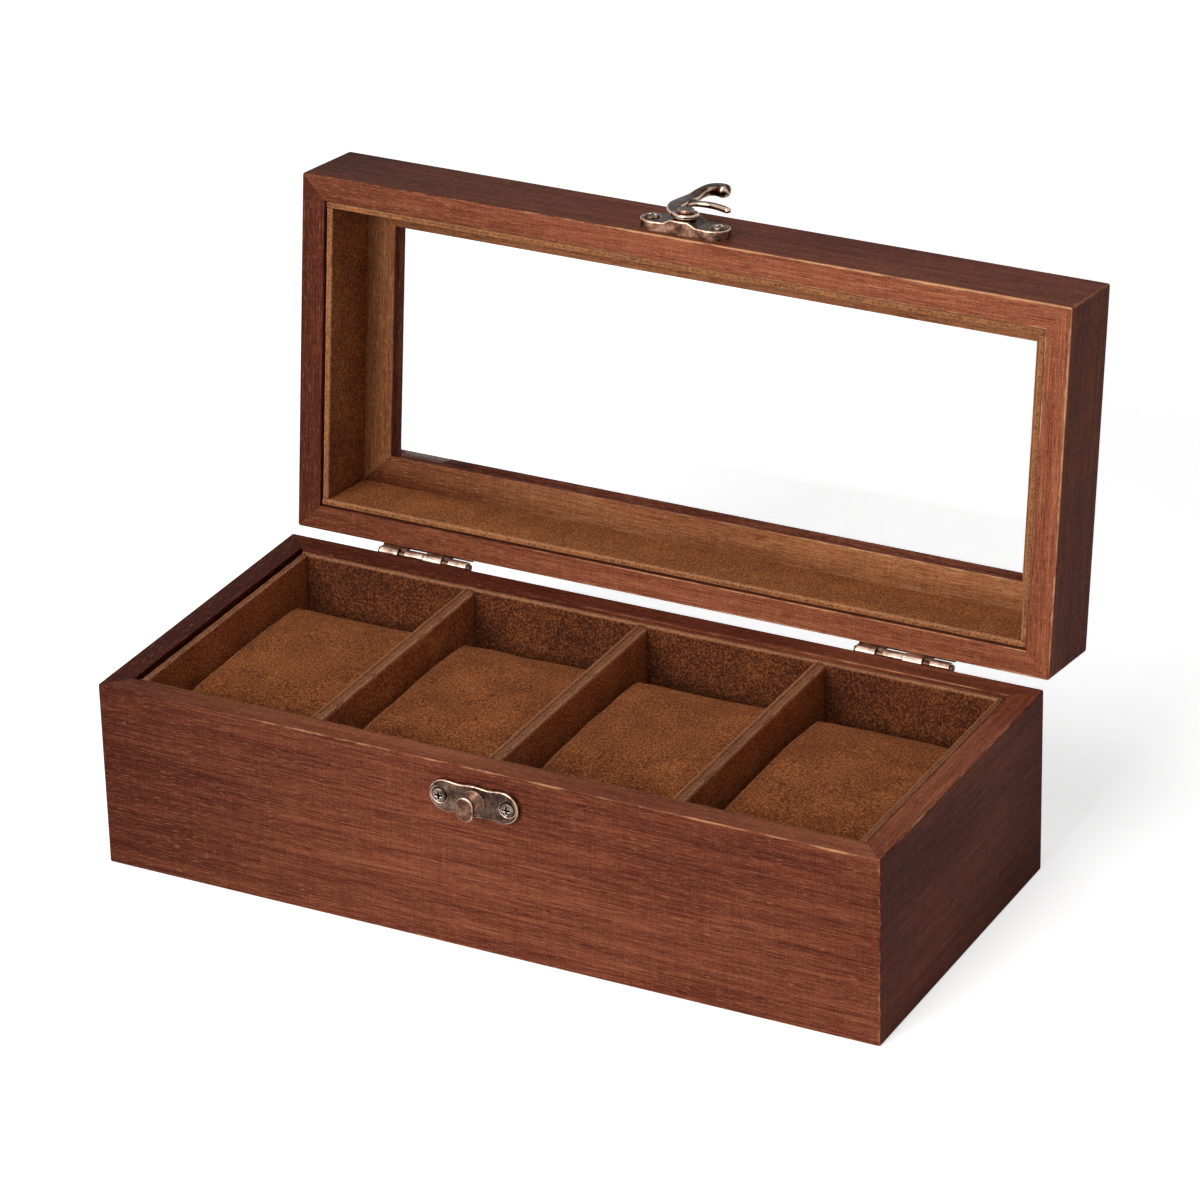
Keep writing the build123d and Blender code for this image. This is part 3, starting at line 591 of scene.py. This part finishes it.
def end_seam(name, cover, x, around=160):
    """A thin rolled seam round the pillow at x: rays from the middle find the cover's skin every
    2.25 degrees, and a tube whose radius swells an eighth at each stitch lies half sunk in it."""
    soft = cover.evaluated_get(bpy.context.evaluated_depsgraph_get()).data
    spots = read_vectors(soft.vertices, "co")
    middle = (spots.min(0) + spots.max(0)) / 2
    skin_tree = BVHTree.FromPolygons(spots.tolist(), [tuple(p.vertices) for p in soft.polygons])
    turn = np.linspace(0, 2 * math.pi, around, endpoint=False)
    rays = np.stack([np.zeros(around), np.cos(turn), np.sin(turn)], -1)
    start = Vector((x, middle[1], middle[2]))
    reach = np.array([skin_tree.ray_cast(start, Vector(ray))[3] for ray in rays])
    swollen = (seam_radius * (1 + 0.12 * np.cos(turn * stitches_round)))[:, None]
    around_tube = np.linspace(0, 2 * math.pi, 9)[:-1]
    out = reach[:, None] + swollen * np.sin(around_tube)
    rings = np.stack([x + swollen * np.cos(around_tube),
                      middle[1] + out * np.cos(turn)[:, None],
                      middle[2] + out * np.sin(turn)[:, None]], -1)
    # The seam's fixed edge value of 0.6 gives its crown the suede's painted edge highlight.
    seam = skin(name, rings[::-1], np.full(rings.shape[:2], 0.6), looped=True)
    seam.data.materials.append(pillow_suede)
    return seam


for number in range(1, 5):
    cover = sewn_cover(f"pillow_{number}_cover", f"watch_pillow_{number}", 3.7 + 0.2 * number, 30 + number)
    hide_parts(f"watch_pillow_{number}")
    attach(cover, f"pillow_{number}")
    low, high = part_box(f"watch_pillow_{number}")
    for hand, x in (("left", low.x + seam_inset), ("right", high.x - seam_inset)):
        seam = end_seam(f"pillow_{number}_{hand}_seam", cover, x)
        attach(seam, f"pillow_{number}")


# ---- lid walls -------------------------------------------------------------------------------
# The same mitred frame as the base, only lower. Its boards are worked out with the lid shut, as a
# joiner makes them, and swung open about the hinge pins to where the solids stand.

lid_joint = next(j for j in frame["joints"] if j["name"] == "lid_hinge")
pivot_y, pivot_z = lid_joint["pos_m"][1:]
open_angle = math.radians(lid_joint["range_deg"][0])


def swing(points, angle):
    """Turn points about the hinge pins, which lie along X through the pivot."""
    back, up = points[..., 1] - pivot_y, points[..., 2] - pivot_z
    return np.stack([points[..., 0],
                     pivot_y + back * math.cos(angle) - up * math.sin(angle),
                     pivot_z + back * math.sin(angle) + up * math.cos(angle)], -1)


def opened(points):
    """From where a point of the lid lies when it is shut to where it lies when it stands open."""
    return swing(points, open_angle)


def turned_shut(normals):
    """The lid's normals as they point when it is shut."""
    axis = np.array([0, pivot_y, pivot_z])
    return swing(normals + axis, -open_angle) - axis


def shut_box(node):
    """Lowest and highest corner of a lid solid with the lid shut."""
    spots = swing(read_vectors(frame["nodes"][node].data.vertices, "co"), -open_angle)
    return spots.min(0), spots.max(0)


lid_low, lid_high = shut_box("lid_front_wall")
lid_rim, lid_top = lid_low[2], lid_high[2]
lid_outline, lid_wear_and_highlight = rounded_loop(
    [(0, lid_rim), (0, lid_top), (wall, lid_top), (wall, lid_rim)],
    [arris_ease, arris_ease, None, inner_ease])
# As on the base, these starts let the broad stain clouds paint shade where less light falls on the lid.
lid_grain_starts = {"front": 12.3, "back": 7.95, "left": 8.0, "right": 23.6}
for side, start in lid_grain_starts.items():
    board = mitred_wall(f"lid_{side}_board", side, half_length, half_width, lid_outline, lid_wear_and_highlight,
                        corner_ease, opened, seed=start)
    # Painted light: every lid rim but the shaded left one gets the paler rim wood.
    rim_wood = rubbed_rim_painted_light if side != "left" else stained_wood
    finish_faces(board, stained_wood, rim_wood, lambda spots, facing: turned_shut(facing)[:, 2] < -0.8)
    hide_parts(f"lid_{side}_wall")
    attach(board, "lid")


# ---- lid rails -------------------------------------------------------------------------------
# A flat mitred frame glued inside the lid's top. A groove in its inner edge holds the glass. Its
# outside and its opening are stained with the walls, and the side towards the box is paler.

# The same wood in light tan, with brown lines and darker pores.
frame_wood = wood_finish(
    "pale_frame_wood", ("#744227", "#a66a43", "#cc9467"), "#dcae84", "#4c2916", 0.5)
rail_low, rail_high = shut_box("lid_rail_front")
glass_low, glass_high = shut_box("lid_glass")
groove_fit = 0.1 * mm
rail_width = rail_high[1] - rail_low[1]
groove = rail_high[1] - glass_low[1] + groove_fit
slope = 1.4 * mm


def opening_at(height):
    """How far the rail reaches inwards at a height: its side slopes in towards the lid's top."""
    return rail_width - slope * (rail_high[2] - height) / (rail_high[2] - rail_low[2])


above_glass, below_glass = glass_high[2] + groove_fit, glass_low[2] - groove_fit
rail_outline, rail_wear_and_highlight = rounded_loop(
    [(0, rail_low[2]), (0, rail_high[2]), (rail_width, rail_high[2]),
     (opening_at(above_glass), above_glass), (rail_width - groove, above_glass),
     (rail_width - groove, below_glass), (opening_at(below_glass), below_glass),
     (opening_at(rail_low[2]), rail_low[2])],
    [None, None, 0.3 * mm, None, None, None, None, 0.3 * mm], near=(0.2, 0.5))
for number, side in enumerate(("front", "back", "left", "right")):
    board = mitred_wall(f"lid_{side}_rail", side, half_length - wall, half_width - wall, rail_outline,
                        rail_wear_and_highlight, 0.05 * mm, opened, seed=number + 12)
    finish_faces(board, stained_wood, frame_wood,
                 lambda spots, facing: (turned_shut(facing)[:, 2] < -0.8)
                 & (swing(spots, -open_angle)[:, 2] < below_glass - 0.5 * mm))
    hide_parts(f"lid_rail_{side}")
    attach(board, "lid")


# ---- lid lining ------------------------------------------------------------------------------
# Four suede-wrapped boards stand inside the lid walls, from the rails to just short of the rim.
# Their suede is painted paler and more golden than the tray's, as painted light for the light that reaches
# the lid's inside.

# Golden-brown suede, as soft and dull as the tray's, with pale pink painted highlights on its edges.
lid_suede_painted_light = suede_finish("lid_suede_painted_light", "#4a210c", "#80431f", "#b46f38", "#c08a62", "#d09058")
for number, side in enumerate(("front", "back", "left", "right")):
    low, high = shut_box(f"lid_lining_{side}")
    board = suede_board(f"lid_lining_{side}_suede", low, high,
                        [lining_ease, hidden_ease, hidden_ease, lining_ease], 40 + number, opened)
    board.data.materials.append(lid_suede_painted_light)
    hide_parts(f"lid_lining_{side}")
    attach(board, "lid")


# ---- glass -----------------------------------------------------------------------------------
# A pane of clear float glass, 2 mm thick, loose in the groove of the rails.

# Colourless and fire-polished: no texture of its own, only clear reflections of the room.
clear_glass, tree, output = new_material("float_glass")
pane = add(tree, "ShaderNodeBsdfPrincipled", {}, {
    "Base Color": linear("#ffffff"), "Roughness": 0.0, "IOR": 1.5, "Transmission Weight": 1.0})
tree.links.new(pane.outputs[0], output.inputs["Surface"])
dress("lid_glass", clear_glass)


# ---- hinges ----------------------------------------------------------------------------------
# Two small butt hinges of copper-plated steel: rolled knuckles on a pin, and stop lugs in the gaps
# between them that hold the lid just past upright. The knuckles are polished by use, the leaves
# are dark brown, and countersunk screws hold them.

def metal_finish(name, tones, roughness, bump_height):
    """Plated metal: its colour drifts over about 4 mm where the plating has toned, and tumbling
    marks up to 0.4 mm wide break the gloss."""
    material, tree, output = new_material(name)
    here = add(tree, "ShaderNodeTexCoord")
    drift = add(tree, "ShaderNodeTexNoise", {}, {
        "Vector": here.outputs["Object"], "Scale": 260.0, "Detail": 3.0, "Roughness": 0.6})
    marks = add(tree, "ShaderNodeTexNoise", {}, {
        "Vector": here.outputs["Object"], "Scale": 2600.0, "Detail": 2.0, "Roughness": 0.6})
    colour = ramp(tree, drift, [(0.36, tones[0]), (0.5, tones[1]), (0.64, tones[2])])
    rough = add(tree, "ShaderNodeMapRange", {}, {
        "Value": marks, "To Min": roughness - 0.08, "To Max": roughness + 0.14})
    bump = add(tree, "ShaderNodeBump", {}, {"Strength": 0.3, "Distance": bump_height, "Height": marks})
    surface = add(tree, "ShaderNodeBsdfPrincipled", {}, {
        "Base Color": colour, "Metallic": 1.0, "Roughness": rough, "Normal": bump})
    tree.links.new(surface.outputs[0], output.inputs["Surface"])
    return material


# Bright plating gives the knuckles pale pink lights, the plate is a dull dark brown, and the
# steel of the screws is darker still.
plated_copper = metal_finish("copper_plated_steel", ("#8f7263", "#c4a592", "#ead3c4"), 0.34, 0.05 * mm)
dark_brown_copper = metal_finish("dark_brown_copper_plate", ("#3d2a22", "#5c4236", "#806152"), 0.38, 0.03 * mm)
dark_screw = metal_finish("browned_steel", ("#3b2a24", "#5a443b", "#7a6053"), 0.35, 0.02 * mm)
# The knuckles lie within this margin of the pin. The windows that show the pin are a quarter and
# three quarters along the barrel, and the plate beside them gets the leaves' dark brown as painted
# shade in the gaps between the knuckles.
knuckle_margin = 0.7 * mm
window_half_share = 0.036
for hand in ("left", "right"):
    pin_low, pin_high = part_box(f"hinge_{hand}_pin")
    barrel_radius = (pin_high.z - pin_low.z) / 2 + knuckle_margin
    barrel_length = pin_high.x - pin_low.x
    dress(f"hinge_{hand}_pin", dark_brown_copper)
    for part in ("base_screws", "lid_screws"):
        dress(f"hinge_{hand}_{part}", dark_screw)
    for part in ("base_leaf", "lid_leaf"):
        leaf = frame["nodes"][f"hinge_{hand}_{part}"]
        leaf.data.materials.clear()
        # The leaves beyond the knuckles are dark brown, and the bands at the windows get the same brown as
        # painted shade.
        finish_faces(leaf, plated_copper, dark_brown_copper, lambda spots, facing:
                     (np.hypot(spots[:, 1] - pivot_y, spots[:, 2] - pivot_z) > barrel_radius)
                     | (np.abs((spots[:, 0] - pin_low.x) / barrel_length % 0.5 - 0.25)
                        < window_half_share))


# ---- latch -----------------------------------------------------------------------------------
# Die-cast zinc, copper plated, browned, then tumbled so that every raised edge is rubbed bright:
# a stud plate on the base, and on the lid a plate with a hook that turns on a rivet.

def cast_finish(name, patina, bright, polish):
    """Browned copper plate: patina that drifts over 1 to 3 mm and is darkest in hollows, where the
    wear attribute is below 0, and bright copper where it is high and the brown was rubbed off.
    Shallow dents half a millimetre wide are left from the casting sand."""
    material, tree, output = new_material(name)
    here = add(tree, "ShaderNodeTexCoord")
    drift = add(tree, "ShaderNodeTexNoise", {}, {
        "Vector": here.outputs["Object"], "Scale": 420.0, "Detail": 4.0, "Roughness": 0.65})
    marks = add(tree, "ShaderNodeTexNoise", {}, {
        "Vector": here.outputs["Object"], "Scale": 1900.0, "Detail": 3.0, "Roughness": 0.7})
    brown = ramp(tree, drift, [(0.38, patina[0]), (0.52, patina[1]), (0.68, patina[2])])
    edge = add(tree, "ShaderNodeAttribute", {"attribute_name": "wear_and_highlight"})
    rubbed_and_highlight = add(tree, "ShaderNodeMath", {"operation": "MULTIPLY_ADD"},
                 {0: drift, 1: 0.6, 2: edge.outputs["Fac"]})
    rubbed_and_highlight = ramp(tree, rubbed_and_highlight, [(0.62, 0.0), (1.0, 1.0)])
    colour = add(tree, "ShaderNodeMix", {"data_type": "RGBA"},
                 {"Factor": rubbed_and_highlight, 6: brown, 7: linear(bright)})
    hollow = add(tree, "ShaderNodeMapRange", {}, {
        "Value": edge.outputs["Fac"], "From Min": -0.7, "From Max": -0.1, "To Min": 0.85, "To Max": 0.0})
    colour = add(tree, "ShaderNodeMix", {"data_type": "RGBA"},
                 {"Factor": hollow, 6: colour.outputs[2], 7: linear("#150d0a")})
    rough = add(tree, "ShaderNodeMapRange", {}, {
        "Value": marks, "To Min": polish - 0.06, "To Max": polish + 0.16})
    bump = add(tree, "ShaderNodeBump", {}, {"Strength": 0.6, "Distance": 0.08 * mm, "Height": marks})
    surface = add(tree, "ShaderNodeBsdfPrincipled", {}, {
        "Base Color": colour.outputs[2], "Metallic": 1.0, "Roughness": rough, "Normal": bump})
    tree.links.new(surface.outputs[0], output.inputs["Surface"])
    return material


# Browned copper is nearly black-brown on the lid's plate. The hook is handled, so it is glossier
# and its edges are the brightest. The stud and its plate have lost more of the brown.
antique_copper = cast_finish("antiqued_copper_plate", ("#2b1c18", "#48322a", "#735445"), "#ecc1a3", 0.26)
hook_copper = cast_finish("handled_hook_copper", ("#22120e", "#452a21", "#7d5646"), "#ffdcc2", 0.18)
plate_copper = cast_finish("worn_copper_plate", ("#46342d", "#6f574c", "#9c8071"), "#f6d2b8", 0.32)
stud_copper = cast_finish("rubbed_stud_copper", ("#5d3e33", "#8a6452", "#b58c77"), "#ffe0c8", 0.28)
# Cut sides tumbled to pinkish copper, the soot-brown cross of a screw, and its greyer steel head.
side_copper = cast_finish("tumbled_side_copper", ("#4a3027", "#86604e", "#b98e78"), "#f0c6a9", 0.36)
recess_brown = cast_finish("browned_recess", ("#0e0908", "#17100d", "#241813"), "#2c1e18", 0.5)
latch_screw_steel = cast_finish(
    "browned_screw_steel", ("#54423a", "#857066", "#b09a8c"), "#f0dccd", 0.28)


def melt(piece, grain_size, smoothings, full_wear=0.10):
    """Fuse a piece into one skin of even squares of the given size and soften it, as casting and
    tumbling do. Each point's wear is how far it stands out from its neighbours' mean along the
    normal, in squares, over full_wear. It is spread over three rings of neighbours, and is above
    0 on outer edges and below 0 in hollows."""
    apply_in_turn(piece, [
        ("WELD", {"merge_threshold": 0.005 * mm}),
        ("REMESH", {"mode": "VOXEL", "voxel_size": grain_size, "use_smooth_shade": True}),
        ("SMOOTH", {"factor": 0.5, "iterations": smoothings})])
    mesh = piece.data
    spots = read_vectors(mesh.vertices, "co")
    normals = read_vectors(mesh.vertices, "normal")
    ends = np.zeros(len(mesh.edges) * 2, int)
    mesh.edges.foreach_get("vertices", ends)
    ends = ends.reshape(-1, 2)
    valence = np.bincount(ends.ravel(), minlength=len(spots))

    def around(values):
        """The mean of each point's neighbours."""
        total = np.zeros_like(values)
        np.add.at(total, ends[:, 0], values[ends[:, 1]])
        np.add.at(total, ends[:, 1], values[ends[:, 0]])
        return total / valence.reshape(-1, *[1] * (values.ndim - 1))

    stand_out = ((spots - around(spots)) * normals).sum(-1) / grain_size
    for _ in range(3):
        stand_out = (stand_out + around(stand_out)) / 2
    wear_highlight_values = mesh.attributes.new("wear_and_highlight", "FLOAT", "POINT")
    wear_highlight_values.data.foreach_set("value", np.clip(stand_out / full_wear, -1, 1).astype(np.float32))


def cast_copy(name, node, grain_size, smoothings, material, other, chosen, body):
    """Take a latch solid's own shape, soften it like a casting, and stand it in for the solid. It
    has the first material, and the other one on the faces that are chosen."""
    piece = bpy.data.objects.new(name, frame["nodes"][node].data.copy())
    bpy.context.scene.collection.objects.link(piece)
    melt(piece, grain_size, smoothings)
    piece.data.materials.clear()
    finish_faces(piece, material, other, chosen)
    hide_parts(node)
    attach(piece, body)


def plate_sides(spots, facing):
    """The upright side of a latch plate on the base, whose faces look neither forwards nor back."""
    return np.abs(facing[:, 1]) < 0.5


def lid_plate_sides(spots, facing):
    """The same for a plate on the lid, judged with the lid shut."""
    return np.abs(turned_shut(facing)[:, 1]) < 0.5


head_radius = 2.3 * mm
head_height = 1.2 * mm
cross_radius = 1.55 * mm
head_crown = 0.22 * mm


def in_recess(spots):
    """Faces in the crosses of a pair of pan-head screws that point forwards: those near the nearer
    screw's axis that lie deeper than the head's crown, but still in the head."""
    middle = (spots.min(0) + spots.max(0)) / 2
    half_apart = (spots[:, 0].max() - spots[:, 0].min()) / 2 - head_radius
    from_axis = np.hypot(np.abs(spots[:, 0] - middle[0]) - half_apart, spots[:, 2] - middle[2])
    below = spots[:, 1] - spots[:, 1].min()
    return (from_axis < cross_radius) & (below > head_crown) & (below < head_height)


stud_shoulder = 2.6 * mm
cast_copy("stud_plate_casting", "latch_stud_plate", 0.20 * mm, 3, plate_copper, side_copper,
          plate_sides, "base")
cast_copy("stud_casting", "latch_stud", 0.16 * mm, 4, stud_copper, side_copper,
          lambda spots, facing: spots[:, 1] > -half_width - stud_shoulder, "base")
cast_copy("stud_plate_screws", "latch_stud_screws", 0.10 * mm, 1, latch_screw_steel, recess_brown,
          lambda spots, facing: in_recess(spots), "base")
cast_copy("hook_plate_casting", "latch_hook_plate", 0.20 * mm, 3, antique_copper, side_copper,
          lid_plate_sides, "lid")
cast_copy("hook_rivet_head", "latch_rivet", 0.16 * mm, 3, antique_copper, side_copper,
          lid_plate_sides, "lid")
cast_copy("hook_plate_screws", "latch_hook_screws", 0.10 * mm, 1, latch_screw_steel, recess_brown,
          lambda spots, facing: in_recess(swing(spots, -open_angle)), "lid")


# ---- hook ------------------------------------------------------------------------------------
# The hook is cast like a swan's neck: a flat ring round the rivet, a broad neck, a thin inner
# prong, and a rounded horn that lifts off the plate and droops at its tip for the finger.

swivel = next(j for j in frame["joints"] if j["name"] == "latch_swivel")
rivet_shut = swing(np.array(swivel["pos_m"]), -open_angle)


def bent_rod(path, widths, depths, squareness, steps=14, around=32):
    """A rod along a smooth curve through the path's points (x, up, out) in mm, with its width
    across and its depth outwards given at each point. Between points the curve is a Catmull-Rom
    cubic. Its rings are superellipses (cosine and sine raised to 2/squareness, so 2 is an ellipse
    and more is boxier), which shrink as a quarter circle does towards each end."""
    table = np.column_stack([np.array(path), widths, depths])
    table = np.vstack([2 * table[0] - table[1], table, 2 * table[-1] - table[-2]])
    t = np.linspace(0, 1, steps, endpoint=False)[:, None]
    spans = [0.5 * ((2 * b) + (c - a) * t + (2 * a - 5 * b + 4 * c - d) * t ** 2
                    + (3 * b - a - 3 * c + d) * t ** 3)
             for a, b, c, d in zip(table, table[1:], table[2:], table[3:])]
    line = np.vstack([*spans, table[-2:-1]])
    centre, half_across, half_deep = line[:, :3], line[:, 3] / 2, line[:, 4] / 2
    forward = np.gradient(centre, axis=0)
    forward /= np.linalg.norm(forward, axis=1)[:, None]
    across = np.cross(forward, [0, 0, 1])
    across /= np.linalg.norm(across, axis=1)[:, None]
    outward = np.cross(across, forward)
    gone = np.concatenate([[0], np.cumsum(np.linalg.norm(np.diff(centre, axis=0), axis=1))])
    to_end = np.minimum(gone, gone[-1] - gone) / np.minimum(half_across, half_deep)
    taper = np.sqrt(np.clip(1 - (1 - np.clip(to_end, 0, 1)) ** 2, 0.01, 1))
    turn = np.linspace(0, 2 * math.pi, around, endpoint=False)
    sideways = np.sign(np.cos(turn)) * np.abs(np.cos(turn)) ** (2 / squareness)
    outwards = np.sign(np.sin(turn)) * np.abs(np.sin(turn)) ** (2 / squareness)
    return (centre[:, None]
            + across[:, None] * np.outer(half_across * taper, sideways)[..., None]
            + outward[:, None] * np.outer(half_deep * taper, outwards)[..., None])


def on_hook_face(points):
    """From (x, up, out) in mm about the rivet on the lid's front to where the open lid has it."""
    spots = np.stack([points[..., 0], -points[..., 2], points[..., 1]], -1) * mm
    return opened(spots + [0, -half_width, rivet_shut[2]])


def washer(inner, outer, low, high, around=48):
    """Rings of a flat washer about the rivet: its section is a rectangle with cut corners."""
    cut = 0.25
    section = np.array([(inner, low), (outer - cut, low), (outer, low + cut), (outer, high - cut),
                        (outer - cut, high), (inner, high)])
    turn = np.linspace(0, 2 * math.pi, around, endpoint=False)[:, None]
    return np.stack([np.cos(turn) * section[:, 0], np.sin(turn) * section[:, 0],
                     np.broadcast_to(section[:, 1], (around, len(section)))], -1)


hook_parts = [
    washer(1.6, 4.2, 4.75, 6.3),
    bent_rod([(-2.9, -1.4, 5.5), (-5.2, 2.2, 5.6), (-6.6, 7.0, 5.8), (-6.3, 12.0, 5.85),
              (-5.5, 16.6, 6.1), (-4.7, 20.4, 6.8), (-3.0, 23.3, 7.3), (-0.3, 24.9, 7.2),
              (2.6, 24.6, 6.6)],
             [2.6, 4.4, 5.2, 5.3, 4.7, 4.2, 4.6, 4.9, 5.0],
             [1.4, 1.7, 1.9, 1.9, 2.1, 2.7, 3.4, 4.0, 4.4], 3.2),
    bent_rod([(-5.2, 9.5, 5.5), (-3.0, 12.4, 5.5), (0.8, 13.4, 5.5), (4.6, 12.9, 5.5),
              (8.0, 11.5, 5.5), (9.5, 10.7, 5.5)],
             [2.4, 2.8, 2.7, 2.6, 2.4, 2.1], [1.5, 1.6, 1.8, 1.8, 1.8, 1.6], 3.0),
]
shells = [skin(f"hook_part_{i}", on_hook_face(rings), looped=i == 0)
          for i, rings in enumerate(hook_parts)]
hook = shells[0]
with bpy.context.temp_override(active_object=hook, selected_editable_objects=shells):
    bpy.ops.object.join()
hook.name = "swan_neck_hook"
melt(hook, 0.16 * mm, 7, 0.045)
hook.data.materials.append(hook_copper)
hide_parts("latch_hook")
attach(hook, "hook")
